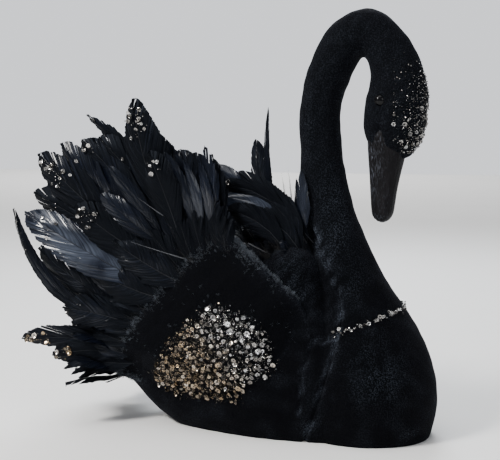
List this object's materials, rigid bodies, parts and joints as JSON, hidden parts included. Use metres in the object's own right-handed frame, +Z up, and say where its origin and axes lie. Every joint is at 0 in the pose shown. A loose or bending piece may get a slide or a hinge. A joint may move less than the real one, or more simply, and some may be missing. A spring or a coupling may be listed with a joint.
{
  "type": "swan ornament",
  "caption": "Standing black swan ornament: velvet body, arched neck and hanging bill, padded wings with fans of glued feathers, feathered back and tail, sequin trim.",
  "frame": {"origin": "on the floor under the flat base, midway between the base's front and rear ends", "axes": "+X towards the swan's breast, +Y to the swan's left, +Z up"},
  "size_m": [0.4267, 0.1574, 0.4236],
  "materials": {
    "velvet": "matt black velvet with a pale sheen where the nap turns",
    "feather": "dyed black feathers with a blue gloss",
    "bill": "dark brown, half gloss",
    "eye": "black with a clear gloss dome",
    "sequin": "metallised silver and champagne discs"
  },
  "bodies": {
    "root": {"body": "velvet", "tail": "feather", "breast": "velvet", "neck_lower": "velvet", "neck_middle": "velvet", "neck_arch": "velvet", "head": "velvet", "bill": "bill", "eye_right": "eye", "eye_left": "eye", "wing_right": "velvet", "wing_left": "velvet", "necklace": "sequin"}
  },
  "joints": []
}
